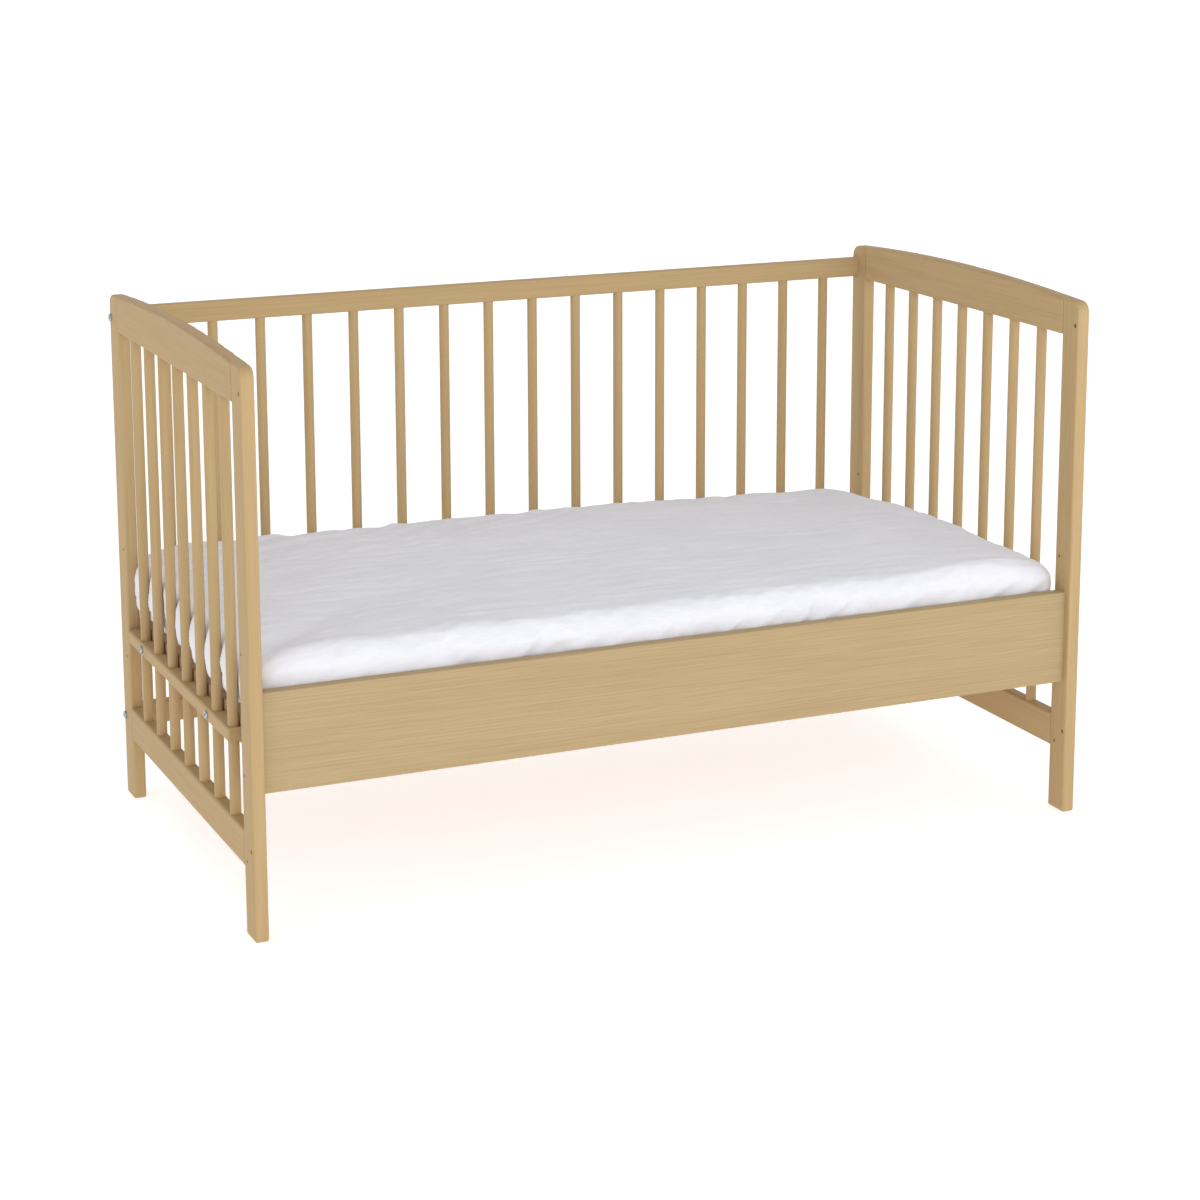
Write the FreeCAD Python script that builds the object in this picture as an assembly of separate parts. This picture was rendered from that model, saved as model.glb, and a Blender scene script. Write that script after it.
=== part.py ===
import FreeCAD, Part
import os

# Baby crib for a 600 x 1200 mm mattress, one long side open with a low board.
# Millimetres, +Z up, X along the crib, -Y is the open front side.
# Origin: centre of the footprint, on the floor.

V = FreeCAD.Vector

# ---- overall size ----
length = 1245.0
width = 657.0
arch_height = 766.0
shoulder_height = 754.4

# ---- end panels ----
post_depth = 41.0
post_thickness = 19.0
corner_radius = 16.0
arris_radius = 3.5
foot_radius = 3.0
top_rail_bottom = 704.0
bottom_rail_bottom = 92.0
bottom_rail_top = 141.0
bar_diameter = 15.0
bar_insertion = 10.0
bar_hole_gap = 0.1
end_bar_count = 7
end_bar_pitch = 73.6
top_rail_dowel_offsets = (-10.0, 10.0)
bottom_rail_dowel_offsets = (-2.0, 12.0)

# ---- back side ----
side_rail_thickness = 17.0
back_top_rail = (706.0, 736.0)
back_bottom_rail = (105.0, 139.0)
back_bar_count = 16
back_bar_pitch = 72.6
side_rail_radius = 3.0
side_dowel_drop = 10.0
side_bolt_hole_depth = 35.0

# ---- front board ----
board_thickness = 18.0
board_low = 196.0
board_high = 331.0
board_radius = 2.0
board_dowel_inset = 30.0
board_cam_inset = 52.0

# ---- mattress base ----
base_top = 278.0
base_rail_height = 40.0
base_rail_thickness = 18.0
base_half_width = 286.0
base_rail_radius = 2.0
slat_count = 14
slat_width = 58.0
slat_thickness = 8.0
batten_bottom = 243.0
batten_top = 262.0
batten_outer = 624.0
batten_front = -232.0
batten_rear = 284.5
batten_radius = 3.0
notch_gap = 0.35
batten_hole_reach = 29.0
clamp_bolt_places = (205.0, -133.0)

# ---- mattress ----
mattress_length = 1194.0
mattress_width = 594.0
mattress_thickness = 99.0
mattress_lift = 0.4
mattress_centre_y = 4.0
mattress_corner = 30.0
mattress_edge = 22.0

# ---- hardware ----
bolt_diameter = 6.0
bolt_hole_diameter = 6.4
head_diameter = 11.5
head_height = 3.2
head_round = 1.92
socket_across = 4.0
socket_depth = 2.0
nut_diameter = 10.0
nut_length = 13.0
nut_hole_gap = 0.1
nut_end_gap = 1.0
side_nut_inset = 26.0
dowel_diameter = 8.0
dowel_half_length = 18.0
small_dowel_diameter = 6.0
hole_gap = 0.1
dowel_end_gap = 1.0
cam_diameter = 15.0
cam_depth = 12.5
cam_slot = (8.0, 1.5, 2.0)
cam_inset = 24.0
cam_bolt_diameter = 6.0
post_socket_depth = 12.0
support_hole_diameter = 5.0
support_hole_y = 298.0
support_hole_heights = (218.0, 380.0)
pilot_hole = (-300.0, 102.5)
screw_diameter = 3.5
screw_head_diameter = 7.0
screw_length = 28.0
screw_head_height = 2.0
screw_sink = 0.5
screw_bore_spare = 1.0

# ---- derived places ----
half_length = length / 2
half_width = width / 2
inner_x = half_length - post_thickness
panel_x = half_length - post_thickness / 2
inner_y = half_width - post_depth
bar_radius = bar_diameter / 2
side_plane_y = half_width - side_rail_thickness / 2
side_bolt_heights = (sum(back_top_rail) / 2, sum(back_bottom_rail) / 2)
board_y = -(half_width - post_depth / 2)
base_rail_outer = panel_x - bar_radius - notch_gap
base_rail_inner = base_rail_outer - base_rail_thickness
base_rail_low = base_top - base_rail_height
mattress_low = base_top + mattress_lift
dowel_hole_depth = dowel_half_length + dowel_end_gap
ends = (("left", -1), ("right", 1))
below_all = -50.0
above_all = 1000.0
over = 1.0  # how far a cutting tool runs past the face it enters


def box(x0, x1, y0, y1, z0, z1):
    return Part.makeBox(x1 - x0, y1 - y0, z1 - z0, V(x0, y0, z0))


def rod(radius, start, direction, depth):
    return Part.makeCylinder(radius, depth, start, direction)


def lies_along(edge, axis):
    """True when a straight edge runs along the given axis."""
    if not isinstance(edge.Curve, (Part.Line, Part.LineSegment)):
        return False
    ends_apart = edge.Vertexes[-1].Point - edge.Vertexes[0].Point
    return ends_apart.Length > 0 and abs(ends_apart.normalize().dot(axis)) > 0.999


def at_face(edge, axis_name, places, slack=0.01):
    """True when every point of the edge has one of the given coordinates on an axis."""
    for place in places:
        if all(abs(getattr(v.Point, axis_name) - place) < slack for v in edge.Vertexes):
            return True
    return False


def save(name, shape):
    shape.exportStep("parts/" + name + ".step")
    print(name, "valid" if shape.isValid() else "NOT VALID", "solids", len(shape.Solids))


# ---- positions of repeated parts ----
def end_bar_places():
    first = end_bar_pitch * (end_bar_count - 1) / 2
    return [first - end_bar_pitch * i for i in range(end_bar_count)]


def back_bar_places():
    first = -back_bar_pitch * (back_bar_count - 1) / 2
    return [first + back_bar_pitch * i for i in range(back_bar_count)]


# ---- end panels ----
def panel_blank(side):
    """The whole arched outline of one end panel, before it is divided."""
    x = side * panel_x - post_thickness / 2
    rear_top = V(x, half_width, shoulder_height)
    front_top = V(x, -half_width, shoulder_height)
    rear_foot = V(x, half_width, 0)
    front_foot = V(x, -half_width, 0)
    arch = Part.Arc(rear_top, V(x, 0, arch_height), front_top).toShape()
    sides = [
        Part.makeLine(front_top, front_foot),
        Part.makeLine(front_foot, rear_foot),
        Part.makeLine(rear_foot, rear_top),
    ]
    outline = Part.Face(Part.Wire([arch] + sides))
    blank = outline.extrude(V(post_thickness, 0, 0))
    corners = [
        edge for edge in blank.Edges
        if lies_along(edge, V(1, 0, 0)) and at_face(edge, "z", [shoulder_height])
    ]
    return blank.makeFillet(corner_radius, corners)


def round_outline(shape, side, radius):
    """Rounds every edge that lies in the inner or outer face of an end panel."""
    faces = [side * inner_x, side * half_length]
    feet = [e for e in shape.Edges if lies_along(e, V(1, 0, 0)) and at_face(e, "z", [0])]
    if feet:
        shape = shape.makeFillet(foot_radius, feet)
    return shape.makeFillet(radius, [e for e in shape.Edges if at_face(e, "x", faces)])


def drill_post(post, side, is_rear):
    """Through holes, and the blind holes that take the rails and the board."""
    facing = 1 if is_rear else -1
    outward = V(side, 0, 0)
    start_x = side * (inner_x - over)
    depth = post_thickness + 2 * over
    for z in side_bolt_heights:
        start = V(start_x, facing * side_plane_y, z)
        post = post.cut(rod(bolt_hole_diameter / 2, start, outward, depth))
    for z in support_hole_heights:
        start = V(start_x, facing * support_hole_y, z)
        post = post.cut(rod(support_hole_diameter / 2, start, outward, depth))
    for z in rail_dowel_heights():
        start = V(side * panel_x, facing * (inner_y - over), z)
        radius = dowel_diameter / 2 + hole_gap
        post = post.cut(rod(radius, start, V(0, facing, 0), dowel_hole_depth + over))
    if is_rear:
        for z in side_dowel_heights():
            start = V(start_x, side_plane_y, z)
            radius = small_dowel_diameter / 2 + hole_gap
            post = post.cut(rod(radius, start, outward, post_socket_depth + over))
        return post
    start = V(start_x, pilot_hole[0], pilot_hole[1])
    post = post.cut(rod(support_hole_diameter / 2, start, outward, depth))
    for z in board_dowel_heights() + board_cam_heights():
        is_dowel = z in board_dowel_heights()
        radius = (dowel_diameter if is_dowel else cam_bolt_diameter) / 2 + hole_gap
        post = post.cut(rod(radius, V(start_x, board_y, z), outward, post_socket_depth + over))
    return post


def make_post(blank, side, is_rear):
    reach = (inner_y, half_width) if is_rear else (-half_width, -inner_y)
    region = box(-half_length, half_length, reach[0], reach[1], below_all, above_all)
    post = round_outline(blank.common(region), side, arris_radius)
    return drill_post(post, side, is_rear).removeSplitter()


def make_end_rail(blank, side, z_low, z_high, hole_top, dowel_heights):
    """A rail between the posts. Bars enter from below (hole_top) or from above."""
    region = box(-half_length, half_length, -inner_y, inner_y, z_low, z_high)
    rail = round_outline(blank.common(region), side, arris_radius)
    hole_start = z_low if hole_top else z_high - bar_insertion
    for y in end_bar_places():
        start = V(side * panel_x, y, hole_start - over if hole_top else hole_start)
        radius = bar_radius + bar_hole_gap
        rail = rail.cut(rod(radius, start, V(0, 0, 1), bar_insertion + over))
    for z in dowel_heights:
        for facing in (-1, 1):
            start = V(side * panel_x, facing * (inner_y + over), z)
            radius = dowel_diameter / 2 + hole_gap
            rail = rail.cut(rod(radius, start, V(0, -facing, 0), dowel_hole_depth + over))
    return rail


def top_rail_dowels():
    middle = (top_rail_bottom + shoulder_height) / 2
    return [middle + offset for offset in top_rail_dowel_offsets]


def bottom_rail_dowels():
    middle = (bottom_rail_bottom + bottom_rail_top) / 2
    return [middle + offset for offset in bottom_rail_dowel_offsets]


def rail_dowel_heights():
    return top_rail_dowels() + bottom_rail_dowels()


def make_end_bar(side, y):
    low = bottom_rail_top - bar_insertion + bar_hole_gap
    high = top_rail_bottom + bar_insertion - bar_hole_gap
    return rod(bar_radius, V(side * panel_x, y, low), V(0, 0, 1), high - low)


# ---- back side ----
def side_dowel_heights():
    """One small dowel beside each bolt keeps a rail from turning."""
    return [z - side_dowel_drop for z in side_bolt_heights]


def make_back_rail(z_range, hole_top):
    z_low, z_high = z_range
    rail = box(-inner_x, inner_x, side_plane_y - side_rail_thickness / 2, half_width, z_low, z_high)
    long_edges = [e for e in rail.Edges if lies_along(e, V(1, 0, 0))]
    rail = rail.makeFillet(side_rail_radius, long_edges)
    for x in back_bar_places():
        hole_start = z_low - over if hole_top else z_high - bar_insertion
        start = V(x, side_plane_y, hole_start)
        rail = rail.cut(rod(bar_radius + bar_hole_gap, start, V(0, 0, 1), bar_insertion + over))
    bolt_z = (z_low + z_high) / 2
    for side in (-1, 1):
        inward = V(-side, 0, 0)
        start_x = side * (inner_x + over)
        bolt_hole = rod(bolt_hole_diameter / 2, V(start_x, side_plane_y, bolt_z), inward,
                        side_bolt_hole_depth + over)
        dowel_hole = rod(
            small_dowel_diameter / 2 + hole_gap,
            V(start_x, side_plane_y, bolt_z - side_dowel_drop), inward, dowel_hole_depth + over)
        rail = rail.cut(bolt_hole).cut(dowel_hole)
        nut_x = side * (inner_x - side_nut_inset)
        nut_start = V(nut_x, half_width + over, bolt_z)
        nut_hole = rod(nut_diameter / 2 + nut_hole_gap, nut_start, V(0, -1, 0),
                       nut_length + nut_end_gap + over)
        rail = rail.cut(nut_hole)
    return rail


def make_back_bar(x):
    low = back_bottom_rail[1] - bar_insertion + bar_hole_gap
    high = back_top_rail[0] + bar_insertion - bar_hole_gap
    return rod(bar_radius, V(x, side_plane_y, low), V(0, 0, 1), high - low)


# ---- fasteners ----
def socket_bolt(face_point, inward, shaft_length):
    """A round-headed socket bolt whose head stands on the given face point."""
    outward = inward * -1
    shaft = rod(bolt_diameter / 2, face_point, inward, shaft_length)
    head = rod(head_diameter / 2, face_point, outward, head_height)
    rim = [e for e in head.Edges
           if e.Closed and (e.CenterOfMass - face_point).Length > head_height / 2]
    head = head.makeFillet(head_round, rim)
    mouth = face_point + outward * (head_height - socket_depth)
    socket = rod(socket_across / 2, mouth, outward, socket_depth + over)
    return head.fuse(shaft).cut(socket).removeSplitter()


def barrel_nut(centre, along):
    """A cross-drilled barrel nut; the bolt enters it at right angles to along."""
    start = centre - along * (nut_length / 2)
    return rod(nut_diameter / 2, start, along, nut_length)


def drill_nut(nut, bolt_point, direction):
    hole = rod(bolt_diameter / 2 + hole_gap, bolt_point - direction * nut_diameter, direction,
               nut_diameter * 2)
    return nut.cut(hole)


def make_side_fasteners():
    bolts, nuts, dowels = [], [], []
    reach = post_thickness + side_nut_inset + nut_diameter / 2
    for z in side_bolt_heights:
        for side in (-1, 1):
            inward = V(-side, 0, 0)
            bolts.append(socket_bolt(V(side * half_length, side_plane_y, z), inward, reach))
            nut_middle_y = half_width - nut_length / 2
            centre = V(side * (inner_x - side_nut_inset), nut_middle_y, z)
            nut = barrel_nut(centre, V(0, 1, 0))
            nuts.append(drill_nut(nut, V(centre.x, side_plane_y, z), inward))
            start_x = side * (inner_x + post_socket_depth - hole_gap)
            start = V(start_x, side_plane_y, z - side_dowel_drop)
            dowel_length = post_socket_depth + dowel_half_length - hole_gap
            dowels.append(rod(small_dowel_diameter / 2, start, inward, dowel_length))
    return bolts, nuts, dowels


def make_panel_dowels():
    dowels = []
    for _, side in ends:
        for z in rail_dowel_heights():
            for facing in (-1, 1):
                start = V(side * panel_x, facing * (inner_y - dowel_half_length), z)
                dowels.append(
                    rod(dowel_diameter / 2, start, V(0, facing, 0), 2 * dowel_half_length))
    return dowels


# ---- front board ----
def board_dowel_heights():
    return [board_low + board_dowel_inset, board_high - board_dowel_inset]


def board_cam_heights():
    return [board_low + board_cam_inset, board_high - board_cam_inset]


def make_front_board():
    y_front = board_y - board_thickness / 2
    board = box(-inner_x, inner_x, y_front, y_front + board_thickness, board_low, board_high)
    long_edges = [e for e in board.Edges if lies_along(e, V(1, 0, 0))]
    board = board.makeFillet(board_radius, long_edges)
    for side in (-1, 1):
        inward = V(-side, 0, 0)
        start_x = side * (inner_x + over)
        for z in board_dowel_heights():
            radius = dowel_diameter / 2 + hole_gap
            start = V(start_x, board_y, z)
            board = board.cut(rod(radius, start, inward, dowel_hole_depth + over))
        for z in board_cam_heights():
            radius = cam_bolt_diameter / 2 + hole_gap
            board = board.cut(rod(radius, V(start_x, board_y, z), inward, cam_inset + over))
            mouth = V(side * (inner_x - cam_inset), y_front + board_thickness + over, z)
            pocket = rod(cam_diameter / 2 + hole_gap, mouth, V(0, -1, 0), cam_depth + over)
            board = board.cut(pocket)
    return board


def make_board_fasteners():
    cams, bolts, dowels = [], [], []
    rear_face = board_y + board_thickness / 2
    slot_length, slot_width, slot_depth = cam_slot
    for side in (-1, 1):
        inward = V(-side, 0, 0)
        socket_end = side * (inner_x + post_socket_depth - hole_gap)
        for z in board_cam_heights():
            cam_x = side * (inner_x - cam_inset)
            cam = rod(cam_diameter / 2, V(cam_x, rear_face, z), V(0, -1, 0), cam_depth - hole_gap)
            slot = box(cam_x - slot_length / 2, cam_x + slot_length / 2,
                       rear_face - slot_depth, rear_face + over,
                       z - slot_width / 2, z + slot_width / 2)
            path = rod(cam_bolt_diameter / 2 + hole_gap, V(socket_end, board_y, z), inward,
                       post_socket_depth + cam_inset)
            cams.append(cam.cut(slot).cut(path))
            bolts.append(rod(cam_bolt_diameter / 2, V(socket_end, board_y, z), inward,
                             post_socket_depth + cam_inset - dowel_end_gap))
        for z in board_dowel_heights():
            length_in = post_socket_depth + dowel_half_length - hole_gap
            dowels.append(rod(dowel_diameter / 2, V(socket_end, board_y, z), inward, length_in))
    return cams, bolts, dowels


# ---- mattress base ----
clamp_nut_x = base_rail_outer - base_rail_thickness / 2
clamp_bolt_z = (batten_bottom + batten_top) / 2


def make_batten(side):
    """The outer clamp strip, with a notch round each end bar."""
    x0, x1 = sorted((side * batten_outer, side * (panel_x - bar_radius)))
    batten = box(x0, x1, batten_front, batten_rear, batten_bottom, batten_top)
    outer = [e for e in batten.Edges if at_face(e, "x", [side * batten_outer])]
    batten = batten.makeFillet(batten_radius, outer)
    radius = bar_radius + notch_gap
    height = batten_top - batten_bottom + 2 * over
    for y in end_bar_places():
        axis_start = V(side * panel_x, y, batten_bottom - over)
        batten = batten.cut(rod(radius, axis_start, V(0, 0, 1), height))
        n0, n1 = sorted((side * panel_x, side * (panel_x - bar_radius - over)))
        mouth = box(n0, n1, y - radius, y + radius, batten_bottom - over, batten_top + over)
        batten = batten.cut(mouth)
    for y in clamp_bolt_places:
        start = V(side * (batten_outer + over), y, clamp_bolt_z)
        inward = V(-side, 0, 0)
        batten = batten.cut(rod(bolt_hole_diameter / 2, start, inward, batten_hole_reach + over))
    return batten


def make_base_end_rail(side):
    x0, x1 = sorted((side * base_rail_outer, side * base_rail_inner))
    rail = box(x0, x1, -base_half_width, base_half_width, base_rail_low, base_top)
    long_edges = [e for e in rail.Edges if lies_along(e, V(0, 1, 0))]
    rail = rail.makeFillet(base_rail_radius, long_edges)
    for y in clamp_bolt_places:
        start = V(side * (base_rail_outer + over), y, clamp_bolt_z)
        rail = rail.cut(rod(bolt_hole_diameter / 2, start, V(-side, 0, 0),
                            base_rail_thickness - over))
        nut_start = V(side * clamp_nut_x, y, base_rail_low - over)
        nut_top = clamp_bolt_z + nut_length / 2
        rail = rail.cut(rod(nut_diameter / 2 + nut_hole_gap, nut_start, V(0, 0, 1),
                            nut_top - base_rail_low + over + hole_gap))
    return rail


def make_base_side_rail(facing):
    y0, y1 = sorted((facing * base_half_width, facing * (base_half_width - base_rail_thickness)))
    rail = box(-base_rail_inner, base_rail_inner, y0, y1, base_rail_low, base_top - slat_thickness)
    long_edges = [e for e in rail.Edges if lies_along(e, V(1, 0, 0))]
    return rail.makeFillet(base_rail_radius, long_edges)


def slat_places():
    span = 2 * base_rail_inner
    gap = (span - slat_count * slat_width) / (slat_count + 1)
    first = -base_rail_inner + gap + slat_width / 2
    return [first + (slat_width + gap) * i for i in range(slat_count)]


def screw_points():
    rail_y = base_half_width - base_rail_thickness / 2
    return [V(x, facing * rail_y, base_top) for x in slat_places() for facing in (-1, 1)]


def make_screw(point):
    down = V(0, 0, -1)
    sunk = point + down * screw_sink
    head = Part.makeCone(screw_head_diameter / 2, screw_diameter / 2, screw_head_height, sunk, down)
    return head.fuse(rod(screw_diameter / 2, sunk, down, screw_length))


def make_slats():
    slats = []
    low = base_top - slat_thickness
    for x in slat_places():
        slat = box(x - slat_width / 2, x + slat_width / 2, -base_half_width, base_half_width,
                   low, base_top)
        long_edges = [e for e in slat.Edges if lies_along(e, V(0, 1, 0))]
        slats.append(slat.makeFillet(base_rail_radius, long_edges))
    return slats


def with_screw_holes(shape):
    for point in screw_points():
        bore = rod(screw_head_diameter / 2 + hole_gap, point + V(0, 0, over), V(0, 0, -1),
                   screw_head_height + screw_sink + screw_bore_spare + over)
        shaft = rod(screw_diameter / 2 + hole_gap, point, V(0, 0, -1), screw_length + screw_bore_spare)
        shape = shape.cut(bore).cut(shaft)
    return shape


def make_clamp_fasteners():
    bolts, nuts = [], []
    shaft_length = batten_outer - clamp_nut_x + nut_diameter / 2
    for _, side in ends:
        inward = V(-side, 0, 0)
        for y in clamp_bolt_places:
            bolts.append(socket_bolt(V(side * batten_outer, y, clamp_bolt_z), inward, shaft_length))
            centre = V(side * clamp_nut_x, y, clamp_bolt_z)
            nuts.append(drill_nut(barrel_nut(centre, V(0, 0, 1)), centre, inward))
    return bolts, nuts


# ---- mattress ----
def make_mattress():
    y0 = mattress_centre_y - mattress_width / 2
    block = box(-mattress_length / 2, mattress_length / 2, y0, y0 + mattress_width,
                mattress_low, mattress_low + mattress_thickness)
    uprights = [e for e in block.Edges if lies_along(e, V(0, 0, 1))]
    block = block.makeFillet(mattress_corner, uprights)
    levels = [mattress_low, mattress_low + mattress_thickness]
    rims = [e for e in block.Edges if at_face(e, "z", levels)]
    return block.makeFillet(mattress_edge, rims)


def build():
    os.makedirs("parts", exist_ok=True)
    for name, side in ends:
        blank = panel_blank(side)
        save(name + "_rear_post", make_post(blank, side, True))
        save(name + "_front_post", make_post(blank, side, False))
        save(name + "_top_rail", make_end_rail(
            blank, side, top_rail_bottom, above_all, True, top_rail_dowels()))
        save(name + "_bottom_rail", make_end_rail(
            blank, side, bottom_rail_bottom, bottom_rail_top, False, bottom_rail_dowels()))
        for i, y in enumerate(end_bar_places(), start=1):
            save(name + "_bar_" + str(i), make_end_bar(side, y))
        save(name + "_clamp_batten", make_batten(side))
        save(name + "_base_rail", make_base_end_rail(side))
    save("back_top_rail", make_back_rail(back_top_rail, True))
    save("back_bottom_rail", make_back_rail(back_bottom_rail, False))
    for i, x in enumerate(back_bar_places(), start=1):
        save("back_bar_%02d" % i, make_back_bar(x))
    save("front_board", make_front_board())
    save("front_base_rail", with_screw_holes(make_base_side_rail(-1)))
    save("back_base_rail", with_screw_holes(make_base_side_rail(1)))
    save("base_slats", with_screw_holes(Part.makeCompound(make_slats())))
    save("base_slat_screws", Part.makeCompound([make_screw(p) for p in screw_points()]))
    save("mattress", make_mattress())
    side_bolts, side_nuts, side_dowels = make_side_fasteners()
    save("back_side_bolts", Part.makeCompound(side_bolts))
    save("back_side_barrel_nuts", Part.makeCompound(side_nuts))
    save("back_side_dowels", Part.makeCompound(side_dowels))
    save("end_panel_dowels", Part.makeCompound(make_panel_dowels()))
    cams, cam_bolts, board_dowels = make_board_fasteners()
    save("front_board_cam_locks", Part.makeCompound(cams))
    save("front_board_cam_bolts", Part.makeCompound(cam_bolts))
    save("front_board_dowels", Part.makeCompound(board_dowels))
    clamp_bolts, clamp_nuts = make_clamp_fasteners()
    save("clamp_bolts", Part.makeCompound(clamp_bolts))
    save("clamp_barrel_nuts", Part.makeCompound(clamp_nuts))


build()
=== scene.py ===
import math

import bmesh
import bpy
import numpy as np
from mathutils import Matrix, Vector


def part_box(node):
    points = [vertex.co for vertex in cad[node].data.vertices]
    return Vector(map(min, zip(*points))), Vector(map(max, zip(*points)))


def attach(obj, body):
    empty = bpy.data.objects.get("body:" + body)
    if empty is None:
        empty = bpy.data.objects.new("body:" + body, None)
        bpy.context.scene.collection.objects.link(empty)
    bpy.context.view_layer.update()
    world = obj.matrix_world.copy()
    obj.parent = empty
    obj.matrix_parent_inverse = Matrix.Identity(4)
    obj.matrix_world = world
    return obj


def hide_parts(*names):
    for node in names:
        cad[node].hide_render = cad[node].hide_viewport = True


# A wooden crib with a fitted sheet on its mattress. Metres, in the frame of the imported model:
# X along the crib, -Y the open front, +Z up.

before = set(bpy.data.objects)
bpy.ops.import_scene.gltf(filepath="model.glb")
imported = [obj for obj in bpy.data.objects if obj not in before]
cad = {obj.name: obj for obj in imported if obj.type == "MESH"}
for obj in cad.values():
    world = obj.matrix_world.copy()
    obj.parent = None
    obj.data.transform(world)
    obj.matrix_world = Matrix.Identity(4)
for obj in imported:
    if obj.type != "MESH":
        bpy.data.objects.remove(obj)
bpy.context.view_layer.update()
scene = bpy.context.scene


# ---------------------------------------------------------------- node helpers
PIECE_SHIFT = (3.7, 5.1, 2.9)      # how far a texture moves from one piece to the next
WHITE = (1.0, 1.0, 1.0)


def new_material(name):
    material = bpy.data.materials.new(name)
    material.use_nodes = True
    tree = material.node_tree
    shader = next(n for n in tree.nodes if n.type == "BSDF_PRINCIPLED")
    return material, tree, shader


def add_node(tree, kind, **settings):
    node = tree.nodes.new(kind)
    for key, value in settings.items():
        setattr(node, key, value)
    return node


def set_inputs(node, **values):
    for key, value in values.items():
        node.inputs[key.replace("_", " ")].default_value = value
    return node


def piece_coordinates(tree, scale):
    """Object coordinates, shifted by a different amount on each piece, then scaled."""
    place = add_node(tree, "ShaderNodeTexCoord")
    info = add_node(tree, "ShaderNodeObjectInfo")
    shift = add_node(tree, "ShaderNodeVectorMath", operation="MULTIPLY_ADD")
    shift.inputs[1].default_value = PIECE_SHIFT
    mapping = add_node(tree, "ShaderNodeMapping")
    mapping.inputs["Scale"].default_value = scale
    tree.links.new(info.outputs["Random"], shift.inputs[0])
    tree.links.new(place.outputs["Object"], shift.inputs[2])
    tree.links.new(shift.outputs[0], mapping.inputs["Vector"])
    return mapping.outputs[0]


def noise(tree, vector, scale, detail=3.0, roughness=0.55, distortion=0.0):
    node = add_node(tree, "ShaderNodeTexNoise")
    set_inputs(node, Scale=scale, Detail=detail, Roughness=roughness, Distortion=distortion)
    tree.links.new(vector, node.inputs["Vector"])
    return node.outputs["Fac"]


def ramp(tree, factor, stops):
    """A colour ramp; stops are (position, colour)."""
    node = add_node(tree, "ShaderNodeValToRGB")
    elements = node.color_ramp.elements
    while len(elements) < len(stops):
        elements.new(1.0)
    for element, (position, colour) in zip(elements, stops):
        element.position = position
        element.color = colour if len(colour) == 4 else (*colour, 1.0)
    tree.links.new(factor, node.inputs["Fac"])
    return node.outputs["Color"]


def mix_colour(tree, first, second, factor, blend_type="MIX"):
    node = add_node(tree, "ShaderNodeMix", data_type="RGBA", blend_type=blend_type)
    for socket, value in ((node.inputs[0], factor), (node.inputs[6], first), (node.inputs[7], second)):
        if isinstance(value, bpy.types.NodeSocket):
            tree.links.new(value, socket)
        else:
            socket.default_value = value if not hasattr(value, "__len__") else (*value[:3], 1.0)
    return node.outputs[2]


def map_range(tree, value, low, high, to_low, to_high):
    node = add_node(tree, "ShaderNodeMapRange")
    for index, number in enumerate((low, high, to_low, to_high), start=1):
        node.inputs[index].default_value = number
    tree.links.new(value, node.inputs[0])
    return node.outputs[0]


def bump(tree, height, shader, strength, distance, after=None):
    node = add_node(tree, "ShaderNodeBump")
    set_inputs(node, Strength=strength, Distance=distance)
    tree.links.new(height, node.inputs["Height"])
    if after is not None:
        tree.links.new(after, node.inputs["Normal"])
    tree.links.new(node.outputs[0], shader.inputs["Normal"])
    return node.outputs[0]


# ---------------------------------------------------------------- wood and metal
PANEL_LIGHT, PANEL_DARK = (0.525, 0.375, 0.198), (0.475, 0.332, 0.166)
BOARD_LIGHT, BOARD_DARK = (0.476, 0.356, 0.201), (0.451, 0.333, 0.183)
BASE_LIGHT, BASE_DARK = (0.56, 0.36, 0.24), (0.46, 0.29, 0.19)
FIBRE_TONE = (0.80, 0.77, 0.72)
RING_DARK, RING_LIGHT = (0.86, 0.81, 0.72), (1.0, 0.985, 0.96)
FLECK_SHADE = 0.62
LACQUER_GLOSS = 0.07
ZINC_DARK, ZINC_LIGHT = (0.26, 0.30, 0.35), (0.48, 0.53, 0.59)


def along(axis, lengthwise, across):
    """A scale that is small along the grain's axis and large across it."""
    scale = [across, across, across]
    scale["XYZ".index(axis)] = lengthwise
    return scale


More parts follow.
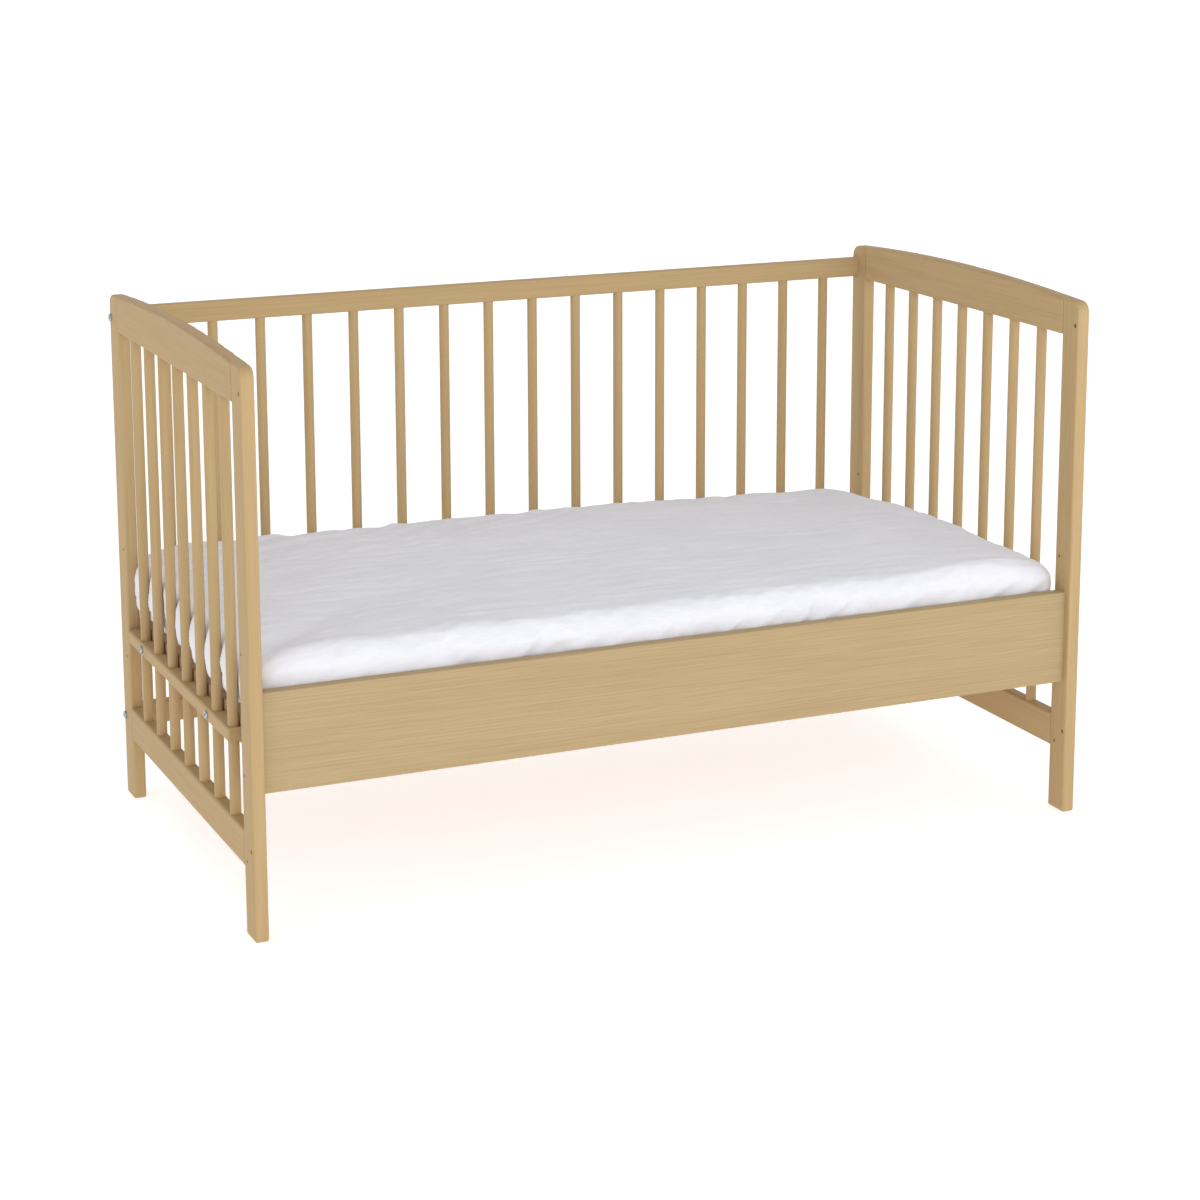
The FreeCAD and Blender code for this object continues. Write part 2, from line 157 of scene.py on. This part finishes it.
def make_wood(name, axis, light, dark, streaks=0.5, flecks=0.25, figure=0.0, roughness=0.5):
    """Lacquered beech, its grain running along one axis of the model."""
    material, tree, shader = new_material(name)
    broad = noise(tree, piece_coordinates(tree, along(axis, 1.6, 26.0)), 1.0, 3.0, 0.5, 0.3)
    fibre = noise(tree, piece_coordinates(tree, along(axis, 7.0, 420.0)), 1.0, 4.0, 0.6)
    colour = ramp(tree, broad, [(0.28, dark), (0.72, light)])
    fibre_tone = ramp(tree, fibre, [(0.30, FIBRE_TONE), (0.62, WHITE)])
    colour = mix_colour(tree, colour, fibre_tone, streaks, "MULTIPLY")
    if figure:
        rings = add_node(tree, "ShaderNodeTexWave", wave_type="BANDS", bands_direction="Z")
        set_inputs(rings, Scale=15.0, Distortion=7.0, Detail=3.0)
        rings.inputs["Detail Scale"].default_value = 0.8
        tree.links.new(piece_coordinates(tree, along(axis, 0.55, 4.6)), rings.inputs["Vector"])
        ring_stops = [(0.0, RING_DARK), (0.35, WHITE), (1.0, RING_LIGHT)]
        ring_tone = ramp(tree, rings.outputs["Fac"], ring_stops)
        colour = mix_colour(tree, colour, ring_tone, figure, "MULTIPLY")
    speck = noise(tree, piece_coordinates(tree, along(axis, 90.0, 900.0)), 1.0, 2.0, 0.5)
    speck_mask = map_range(tree, speck, 0.64, 0.74, 0.0, flecks)
    colour = mix_colour(tree, colour, [channel * FLECK_SHADE for channel in dark], speck_mask)
    tree.links.new(colour, shader.inputs["Base Color"])
    uneven = map_range(tree, broad, 0.3, 0.7, roughness - 0.05, roughness + 0.06)
    tree.links.new(uneven, shader.inputs["Roughness"])
    shader.inputs["Specular IOR Level"].default_value = LACQUER_GLOSS
    bump(tree, fibre, shader, 0.12, 0.0004)
    return material


wood_z = make_wood("beech_upright", "Z", PANEL_LIGHT, PANEL_DARK)
wood_y = make_wood("beech_cross", "Y", PANEL_LIGHT, PANEL_DARK)
wood_x = make_wood("beech_long", "X", PANEL_LIGHT, PANEL_DARK)
board_wood = make_wood("board_long_grain", "X", BOARD_LIGHT, BOARD_DARK,
                       streaks=0.55, flecks=0.4, figure=0.34, roughness=0.46)
base_x, base_y = (
    make_wood(name, axis, BASE_LIGHT, BASE_DARK, streaks=0.6, flecks=0.3, roughness=0.62)
    for name, axis in (("base_long", "X"), ("base_cross", "Y")))


def make_zinc():
    material, tree, shader = new_material("bright_zinc")
    blotch = noise(tree, piece_coordinates(tree, (240.0, 240.0, 240.0)), 1.0, 3.0)
    tone = ramp(tree, blotch, [(0.3, ZINC_DARK), (0.7, ZINC_LIGHT)])
    tree.links.new(tone, shader.inputs["Base Color"])
    shader.inputs["Metallic"].default_value = 1.0
    tree.links.new(map_range(tree, blotch, 0.3, 0.7, 0.24, 0.38), shader.inputs["Roughness"])
    bump(tree, blotch, shader, 0.15, 0.0002)
    return material


zinc = make_zinc()


def node_material(name):
    """The wood or metal that a CAD node gets, with the grain along its length."""
    if any(kind in name for kind in ("bolts", "nuts", "locks", "screws")):
        return zinc
    if name == "front_board":
        return board_wood
    if name in ("left_base_rail", "right_base_rail", "base_slats"):
        return base_y
    if name in ("front_base_rail", "back_base_rail"):
        return base_x
    if "post" in name or "_bar_" in name:
        return wood_z
    if name in ("back_top_rail", "back_bottom_rail") or "dowels" in name:
        return wood_x
    return wood_y


for node_name, node in cad.items():
    node.data.materials.clear()
    node.data.materials.append(node_material(node_name))


# ---------------------------------------------------------------- bedding
SHEET_SPACING = 0.008       # of the simulated grid; one subdivision halves it
EDGE_RADIUS = 0.026         # of the mattress block's edges
BAR_PITCH = 0.0736          # of the seven bars in each end
FIRST_BAR = 0.2208          # how far the outermost are from the middle
BAR_FACE = 0.6045           # where the fabric meets the end bars
BULGE = 0.0100              # how far it swells between two bars
FLAT_GAP = -2               # the gap between two left bars where it swells least
FOLD_START, FOLD_WAY = np.array([-0.590, -0.240]), np.array([0.848, 0.530])
FOLD_DEPTH, FOLD_LENGTH = 0.028, 0.16
HEM_TURN = 0.085            # how far the sheet is turned under
HEM_CORNER = 0.10           # radius of the hem's line at the corners
HEM_RADIUS = 0.0024
CORE_GAP = 0.0045           # from the sheet to the mattress core
SHEET_THICK = 0.0009
SETTLE_FRAMES = 14
SETTLE_LIMIT = 0.0038       # the farthest that settling moves a point
CLOTH_GAP = 0.0008          # kept by the settling cloth from what it meets
BOARD_CLEARANCE = 0.0004    # kept by the finished sheet from the board
EASE = 0.002                # the depth over which it eases off before the board

mattress_low, mattress_high = (np.array(corner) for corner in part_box("mattress"))
mattress_middle = (mattress_low + mattress_high) / 2
mattress_half = (mattress_high - mattress_low) / 2
board_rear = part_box("front_board")[1][1]


def smooth(low, high, value):
    share = np.clip((value - low) / (high - low), 0.0, 1.0)
    return share * share * (3.0 - 2.0 * share)


def hashed(cells, seed):
    """A repeatable number from -1 to 1 for each whole-number cell."""
    words = [cells[:, i].astype(np.int64).astype(np.uint64) for i in range(3)]
    mixed = (words[0] * np.uint64(73856093) ^ words[1] * np.uint64(19349663)
             ^ words[2] * np.uint64(83492791) ^ np.uint64(seed * 2654435761 % 2**32))
    mixed = (mixed ^ (mixed >> np.uint64(15))) * np.uint64(2246822519) & np.uint64(0xFFFFFFFF)
    mixed = (mixed ^ (mixed >> np.uint64(13))) * np.uint64(3266489917) & np.uint64(0xFFFFFFFF)
    return ((mixed >> np.uint64(8)) & np.uint64(0xFFFF)).astype(float) / 32767.5 - 1.0


def wavy(points, seed, octaves=1):
    """Smooth noise from about -1 to 1 at each point."""
    total, weight = np.zeros(len(points)), 1.0
    for octave in range(octaves):
        scaled = points * 2.0**octave + 100.0
        cell = np.floor(scaled)
        share = scaled - cell
        share = share * share * share * (share * (share * 6 - 15) + 10)
        for corner in np.ndindex(2, 2, 2):
            corner = np.array(corner)
            part = np.prod(np.where(corner, share, 1 - share), axis=1)
            total += weight * part * hashed(cell + corner, seed + octave)
        weight *= 0.5
    return total


def stretched(x, y, z=0.0):
    return np.stack([x, y, np.broadcast_to(z, np.shape(x))], axis=1)


def rounded_block(spacing, radius):
    """Points and quads of the mattress block, its grid pushed onto rounded edges."""
    counts = np.maximum(4, np.round(2 * mattress_half / spacing)).astype(int)
    index, quads = {}, []
    for a, b, c in ((0, 1, 2), (1, 2, 0), (2, 0, 1)):
        for side in (0, counts[c]):
            for i in range(counts[a]):
                for j in range(counts[b]):
                    quad = []
                    for di, dj in ((0, 0), (1, 0), (1, 1), (0, 1)):
                        place = [0, 0, 0]
                        place[a], place[b], place[c] = i + di, j + dj, side
                        quad.append(index.setdefault(tuple(place), len(index)))
                    quads.append(quad if side else quad[::-1])
    points = np.array(list(index), float) / counts * 2 * mattress_half - mattress_half
    inner = np.clip(points, radius - mattress_half, mattress_half - radius)
    offset = points - inner
    length = np.linalg.norm(offset, axis=1, keepdims=True)
    points = np.where(length > 0, inner + offset * radius / np.maximum(length, 1e-9), points)
    return points + mattress_middle, quads


def rest_form(points):
    """The mattress as it lies in the crib: crowned, soft at its corners, pressed on the bars."""
    x, y, z = points.T
    u, v, h = ((points - mattress_middle) / mattress_half).T
    h = (h + 1) / 2
    top = smooth(0.45, 0.95, h)
    lift = 0.004 * (1 - u**4) * (1 - v**4)
    lift -= 0.017 * smooth(0.1, 1.0, u) * smooth(0.1, 1.0, v)
    lift += 0.005 * smooth(0.1, 1.0, v) * smooth(0.3, -0.9, u)
    lift -= 0.017 * smooth(0.88, 1.03, u) + 0.006 * smooth(0.9, 1.02, -u)
    # the pulled fold that runs in from the near left corner
    rel = points[:, :2] - FOLD_START
    run = np.clip(rel @ FOLD_WAY, 0, 1)
    aside = rel @ np.array([-FOLD_WAY[1], FOLD_WAY[0]])
    width = 0.034 + 0.10 * run
    lift -= FOLD_DEPTH * np.exp(-(aside / width) ** 2) * np.exp(-run / FOLD_LENGTH)
    lift += 0.0022 * wavy(stretched(x / 0.16, y / 0.13), 11, 2)
    # dips and peaks along the back edge
    lift += 0.0022 * wavy(stretched(x / 0.045, y / 0.2), 12) * smooth(0.8, 1.0, v)
    # pressed between the end bars
    end = smooth(0.90, 1.0, np.abs(u))
    gap = np.abs(np.sin(math.pi * (y - FIRST_BAR) / BAR_PITCH))
    gap = np.clip((gap - 0.2) / 0.8, 0.0, 1.0) ** 0.75
    gap_number = np.floor((y - FIRST_BAR) / BAR_PITCH)
    fullness = 0.90 + 0.20 * hashed(np.floor(stretched(gap_number, np.sign(x))), 3)
    fullness[(gap_number == FLAT_GAP) & (x < 0)] = 0.45
    fullness[y < -FIRST_BAR] = 0.0
    # fullest at half height, nothing at the top and underneath
    height = np.clip(np.sin(math.pi * np.clip(h, 0, 1)), 0, 1) ** 0.8
    out = BAR_FACE - mattress_half[0] + BULGE * gap * fullness * height
    # soft pulls along the front and the back
    front, back = smooth(0.90, 1.0, -v), smooth(0.90, 1.0, v)
    pulls = 0.0030 * wavy(stretched((x + 0.9 * z) / 0.10, z / 0.3), 14) * height
    shaped = points.copy()
    shaped[:, 0] += np.sign(x) * end * out
    shaped[:, 1] += -front * pulls + back * (0.004 + pulls)
    shaped[:, 2] += top * lift
    return shaped


def make_object(name, points, quads, material):
    data = bpy.data.meshes.new(name)
    data.from_pydata(points.tolist(), [], quads)
    data.polygons.foreach_set("use_smooth", [True] * len(data.polygons))
    data.materials.append(material)
    piece = bpy.data.objects.new(name, data)
    scene.collection.objects.link(piece)
    return piece


def vertex_points(piece):
    flat = np.empty(3 * len(piece.data.vertices))
    piece.data.vertices.foreach_get("co", flat)
    return flat.reshape(-1, 3)


def vertex_normals(piece):
    flat = np.empty(3 * len(piece.data.vertices))
    piece.data.vertex_normals.foreach_get("vector", flat)
    return flat.reshape(-1, 3)


def set_points(piece, points):
    piece.data.vertices.foreach_set("co", points.ravel())
    piece.data.update()


def bake_modifiers(piece):
    """Replaces the piece's mesh with the mesh that its modifiers give."""
    graph = bpy.context.evaluated_depsgraph_get()
    baked = bpy.data.meshes.new_from_object(piece.evaluated_get(graph))
    piece.modifiers.clear()
    piece.data = baked


def add_stop(name, source):
    """A copy of a CAD node that the cloth can lie against; it is removed afterwards."""
    stop = bpy.data.objects.new("stop_" + name, source.data.copy())
    scene.collection.objects.link(stop)
    stop.modifiers.new("stop", "COLLISION")
    stop.collision.thickness_outer = CLOTH_GAP
    stop.collision.cloth_friction = 4.0
    return stop


def settle(piece):
    """Lets the fabric relax over its form with Cloth, each point held near where it began."""
    started = vertex_points(piece)
    u, v, h = ((started - mattress_middle) / mattress_half).T
    inside = np.minimum(smooth(1.0, 0.80, np.abs(u)), smooth(1.0, 0.64, np.abs(v)))
    # fixed underneath, held most in the middle of the top, least at the sides
    hold = np.where(h > 0.9, 0.30 + 0.55 * inside, np.where(h < -0.97, 1.0, 0.10))
    group = piece.vertex_groups.new(name="hold")
    for weight in np.unique(np.round(hold, 2)):
        members = np.flatnonzero(np.round(hold, 2) == weight)
        group.add(members.tolist(), float(weight), "REPLACE")
    stops = [add_stop(name, node) for name, node in cad.items()
             if "_bar_" in name or "post" in name or name == "front_board"]
    cloth = piece.modifiers.new("cloth", "CLOTH")
    fabric = cloth.settings
    fabric.quality = 5
    fabric.mass = 0.15
    fabric.tension_stiffness = fabric.compression_stiffness = 20
    fabric.shear_stiffness = 8
    fabric.bending_stiffness = 0.15
    fabric.use_pressure = True
    fabric.uniform_pressure_force = 4
    fabric.shrink_min = -0.012
    fabric.vertex_group_mass = "hold"
    fabric.effector_weights.gravity = 0
    cloth.collision_settings.distance_min = CLOTH_GAP
    for frame_number in range(1, SETTLE_FRAMES + 1):
        scene.frame_set(frame_number)
    bake_modifiers(piece)
    moved = vertex_points(piece) - started
    length = np.linalg.norm(moved, axis=1, keepdims=True)
    moved *= SETTLE_LIMIT * np.tanh(length / SETTLE_LIMIT) / np.maximum(length, 1e-9)
    set_points(piece, started + moved)
    piece.vertex_groups.clear()
    for stop in stops:
        bpy.data.objects.remove(stop)
    scene.frame_set(1)


def creases(points, seed, lengthwise, across, turn=0.0):
    """Ridged noise, its ridges running along X turned by an angle."""
    bend = 0.35 * across * wavy(points / (2.5 * across), seed + 40)
    x = points[:, 0] * math.cos(turn) + points[:, 1] * math.sin(turn)
    y = -points[:, 0] * math.sin(turn) + points[:, 1] * math.cos(turn) + bend
    waves = wavy(stretched(x / lengthwise, y / across, points[:, 2] / 0.3), seed, 2)
    return 1.0 - 2.0 * np.clip(np.abs(1.1 * waves), 0.0, 1.0)


def crinkled(points, normals):
    """The small creases of unironed cotton."""
    x, y = points[:, 0], points[:, 1]
    u, v, h = ((points - mattress_middle) / mattress_half).T
    up, down = smooth(0.60, 0.95, normals[:, 2]), smooth(0.4, 0.9, -normals[:, 2])
    side = smooth(0.60, 0.15, normals[:, 2]) * (1 - down)
    patches = 0.55 + 0.45 * wavy(points / 0.11, 21, 2)
    height = up * patches * 0.0015 * creases(points, 22, 0.12, 0.017)
    height += up * (1.1 - patches) * 0.0010 * creases(points, 23, 0.06, 0.0115)
    near_back = smooth(0.1, 0.8, v) * smooth(0.55, -0.1, u)
    height += up * near_back * 0.0022 * creases(points, 24, 0.22, 0.036, math.radians(28))
    near_front = smooth(0.45, 0.95, -v) * up
    height += near_front * 0.0010 * creases(points, 25, 0.18, 0.024, math.radians(-4))
    # short slanting creases on the sides, deeper where they are tucked in
    slanted = stretched(x + y, points[:, 2])
    tucked = smooth(0.95, 0.2, h)
    drawn = tucked + 0.5 * smooth(0.9, 1.0, -v) * (1 - tucked)
    height += side * drawn * 0.0022 * creases(slanted, 26, 0.16, 0.027, math.radians(35))
    height += side * tucked * 0.0009 * creases(slanted, 27, 0.09, 0.012, math.radians(28))
    # gathers under the mattress, drawn up by the elastic
    from_end = mattress_half[0] - np.abs(x - mattress_middle[0])
    from_side = mattress_half[1] - np.abs(y - mattress_middle[1])
    turned = np.minimum(from_end, from_side) / HEM_TURN
    around = np.where(from_end < from_side, y, x)
    gathers = np.abs(wavy(stretched(around / 0.011, turned / 3), 28, 2))
    height -= down * np.clip(turned, 0, 1) * 0.0035 * gathers
    crinkled_points = points + normals * height[:, None]
    # the fabric eases off before it meets the board, and lies on the slats
    room = crinkled_points[:, 1] - (board_rear + BOARD_CLEARANCE)
    eased = EASE * np.exp(np.minimum(room, EASE) / EASE - 1)
    crinkled_points[:, 1] += np.where(room < EASE, eased - room, 0.0)
    crinkled_points[:, 2] = np.maximum(crinkled_points[:, 2], mattress_low[2])
    return crinkled_points


def hem_distance(points):
    """How far a point is inside the turned hem's line, which is rounded at its corners."""
    inner = mattress_half[:2] - HEM_TURN - HEM_CORNER
    rel = np.abs(points[:, :2] - mattress_middle[:2]) - inner
    outside = np.linalg.norm(np.maximum(rel, 0), axis=1)
    return HEM_CORNER - outside - np.minimum(np.max(rel, axis=1), 0)


def make_cotton():
    material, tree, shader = new_material("white_cotton")
    soft = noise(tree, piece_coordinates(tree, (9.0, 9.0, 9.0)), 1.0, 3.0)
    tone = ramp(tree, soft, [(0.3, (0.795, 0.80, 0.86)), (0.7, (0.835, 0.84, 0.895))])
    weave_place = piece_coordinates(tree, (1.0, 1.0, 1.0))
    threads = []
    for direction in ("X", "Y", "Z"):
        wave = add_node(tree, "ShaderNodeTexWave", wave_type="BANDS", bands_direction=direction)
        set_inputs(wave, Scale=210.0, Distortion=1.2, Detail=2.0)
        wave.inputs["Detail Scale"].default_value = 0.6
        tree.links.new(weave_place, wave.inputs["Vector"])
        threads.append(wave.outputs["Fac"])
    weave = threads[0]
    for thread in threads[1:]:
        joined = add_node(tree, "ShaderNodeMath", operation="MULTIPLY")
        tree.links.new(weave, joined.inputs[0])
        tree.links.new(thread, joined.inputs[1])
        weave = joined.outputs[0]
    slub = noise(tree, piece_coordinates(tree, (70.0, 420.0, 300.0)), 1.0, 3.0, 0.6, 0.4)
    slub_tone = ramp(tree, slub, [(0.35, (0.94, 0.94, 0.945)), (0.65, WHITE)])
    tree.links.new(mix_colour(tree, tone, slub_tone, 0.7, "MULTIPLY"), shader.inputs["Base Color"])
    shader.inputs["Roughness"].default_value = 0.92
    shader.inputs["Sheen Weight"].default_value = 0.12
    shader.inputs["Sheen Roughness"].default_value = 0.5
    crinkle = noise(tree, piece_coordinates(tree, (55.0, 230.0, 160.0)), 1.0, 4.0, 0.6, 0.6)
    first = bump(tree, weave, shader, 0.25, 0.0002)
    bump(tree, crinkle, shader, 0.5, 0.0009, first)
    return material


def make_ticking():
    material, tree, shader = new_material("quilted_ticking")
    diamonds = []
    for turn in (45.0, -45.0):
        place = piece_coordinates(tree, (1.0, 1.0, 1.0))
        spin = add_node(tree, "ShaderNodeMapping")
        spin.inputs["Rotation"].default_value = (0.0, 0.0, math.radians(turn))
        tree.links.new(place, spin.inputs["Vector"])
        wave = add_node(tree, "ShaderNodeTexWave", wave_type="BANDS", bands_direction="X",
                        wave_profile="SIN")
        set_inputs(wave, Scale=5.5, Distortion=0.0)
        tree.links.new(spin.outputs[0], wave.inputs["Vector"])
        diamonds.append(map_range(tree, wave.outputs["Fac"], 0.0, 0.10, 0.0, 1.0))
    quilting = add_node(tree, "ShaderNodeMath", operation="MINIMUM")
    tree.links.new(diamonds[0], quilting.inputs[0])
    tree.links.new(diamonds[1], quilting.inputs[1])
    mottled = noise(tree, piece_coordinates(tree, (30.0, 30.0, 30.0)), 1.0, 4.0)
    tone = ramp(tree, mottled, [(0.3, (0.70, 0.69, 0.66)), (0.7, (0.78, 0.77, 0.74))])
    seam_tone = ramp(tree, quilting.outputs[0], [(0.0, (0.72, 0.72, 0.74)), (1.0, WHITE)])
    tree.links.new(mix_colour(tree, tone, seam_tone, 1.0, "MULTIPLY"), shader.inputs["Base Color"])
    shader.inputs["Roughness"].default_value = 0.9
    bump(tree, quilting.outputs[0], shader, 0.8, 0.003)
    return material


def edge_loop(mesh):
    """The points of a mesh's one open edge, in order."""
    at = next(e for e in mesh.edges if e.is_boundary).verts[0]
    path, came = [], None
    while not path or (at.co - path[0]).length > 1e-7:
        path.append(at.co.copy())
        step = next(e for e in at.link_edges if e.is_boundary and e != came)
        came, at = step, step.other_vert(at)
    return path


def make_hem(path, material):
    """The elastic casing round the sheet's open edge, a soft flattened tube."""
    data = bpy.data.curves.new("sheet_hem", "CURVE")
    data.dimensions = "3D"
    data.bevel_depth = HEM_RADIUS
    data.bevel_resolution = 3
    line = data.splines.new("NURBS")
    points = path[::2]
    line.points.add(len(points) - 1)
    for spot, point in zip(line.points, points):
        spot.co = (point.x, point.y, mattress_low[2] + 1.05 * HEM_RADIUS, 1.0)
        spot.radius = 0.9 + 0.1 * math.sin(900.0 * (point.x + point.y))
    line.order_u = 3
    line.use_cyclic_u = True
    data.materials.append(material)
    hem = bpy.data.objects.new("sheet_hem", data)
    scene.collection.objects.link(hem)
    return hem


block_points, block_quads = rounded_block(SHEET_SPACING, EDGE_RADIUS)
cotton, ticking = make_cotton(), make_ticking()
sheet = make_object("fitted_sheet", rest_form(block_points), block_quads, cotton)
settle(sheet)

core = make_object("mattress_core", vertex_points(sheet) - CORE_GAP * vertex_normals(sheet),
                   block_quads, ticking)

subdivide = sheet.modifiers.new("finer", "SUBSURF")
subdivide.levels = subdivide.render_levels = 1
bake_modifiers(sheet)
set_points(sheet, crinkled(vertex_points(sheet), vertex_normals(sheet)))

cut = bmesh.new()
cut.from_mesh(sheet.data)
face_middles = np.array([face.calc_center_median() for face in cut.faces])
face_down = np.array([face.normal.z for face in cut.faces]) < -0.5
away = (hem_distance(face_middles) > 0) & face_down & (face_middles[:, 2] < mattress_middle[2])
doomed = [face for face, gone in zip(cut.faces, away) if gone]
bmesh.ops.delete(cut, geom=doomed, context="FACES")
hem_path = edge_loop(cut)
cut.to_mesh(sheet.data)
cut.free()
thicken = sheet.modifiers.new("cloth_thickness", "SOLIDIFY")
thicken.thickness = SHEET_THICK
thicken.offset = -1.0
bake_modifiers(sheet)

hem = make_hem(hem_path, cotton)
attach(hem, "mattress")
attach(core, "mattress")
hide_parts("mattress")
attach(sheet, "mattress")


# ---------------------------------------------------------------- stage, light, camera
FLOOR_HALF = 40.0
FLOOR_TONE = (0.80, 0.80, 0.80, 1.0)
FLOOR_GLOW = 0.56
LIGHT_TARGET = (0, 0, 0.4)
CAMERA_PLACE = (-1.5784, -3.5957, 1.3748)
CAMERA_TILT_DOWN, CAMERA_TURN_RIGHT, CAMERA_ROLL = 11.49, 23.85, 0.12
CAMERA_LENS, CAMERA_SHIFT = 83.3, -0.15


def make_floor():
    half = FLOOR_HALF
    data = bpy.data.meshes.new("floor")
    data.from_pydata([(-half, -half, 0), (half, -half, 0), (half, half, 0), (-half, half, 0)],
                     [], [(0, 1, 2, 3)])
    floor = bpy.data.objects.new("floor", data)
    scene.collection.objects.link(floor)
    material, tree, shader = new_material("pale_floor")
    shader.inputs["Base Color"].default_value = FLOOR_TONE
    shader.inputs["Roughness"].default_value = 0.9
    shader.inputs["Specular IOR Level"].default_value = 0.1
    shader.inputs["Emission Color"].default_value = (*WHITE, 1.0)
    shader.inputs["Emission Strength"].default_value = FLOOR_GLOW
    data.materials.append(material)


def add_area_light(name, place, size, power):
    lamp = bpy.data.lights.new(name, "AREA")
    lamp.shape = "RECTANGLE"
    lamp.size, lamp.size_y = size
    lamp.energy = power
    holder = bpy.data.objects.new(name, lamp)
    holder.location = place
    aim = Vector(LIGHT_TARGET) - Vector(place)
    holder.rotation_euler = aim.to_track_quat("-Z", "Y").to_euler()
    scene.collection.objects.link(holder)


def set_world(stops):
    """A white studio, its brightness set by how high one looks: stops are (height, value)."""
    world = bpy.data.worlds.new("studio")
    world.use_nodes = True
    tree = world.node_tree
    background = next(n for n in tree.nodes if n.type == "BACKGROUND")
    place = add_node(tree, "ShaderNodeTexCoord")
    parts = add_node(tree, "ShaderNodeSeparateXYZ")
    tree.links.new(place.outputs["Generated"], parts.inputs[0])
    shade = ramp(tree, parts.outputs["Z"], [(height, (value,) * 3) for height, value in stops])
    tree.links.new(shade, background.inputs["Color"])
    scene.world = world


def add_camera():
    data = bpy.data.cameras.new("camera")
    data.sensor_width = 36.0
    data.lens = CAMERA_LENS
    data.shift_y = CAMERA_SHIFT
    data.clip_end = 200.0
    camera = bpy.data.objects.new("camera", data)
    camera.location = CAMERA_PLACE
    turns = (90 - CAMERA_TILT_DOWN, CAMERA_ROLL, -CAMERA_TURN_RIGHT)
    camera.rotation_euler = [math.radians(turn) for turn in turns]
    scene.collection.objects.link(camera)
    scene.camera = camera


make_floor()
set_world([(0.0, 0.98), (0.12, 0.98), (0.45, 0.74), (1.0, 0.66)])
add_area_light("key", (-0.8, -4.4, 2.3), size=(2.6, 1.8), power=43.0)
add_area_light("front_right", (1.7, -4.2, 0.7), size=(1.7, 1.2), power=20.0)
scene.view_settings.view_transform = "Standard"
scene.view_settings.look = "None"
add_camera()
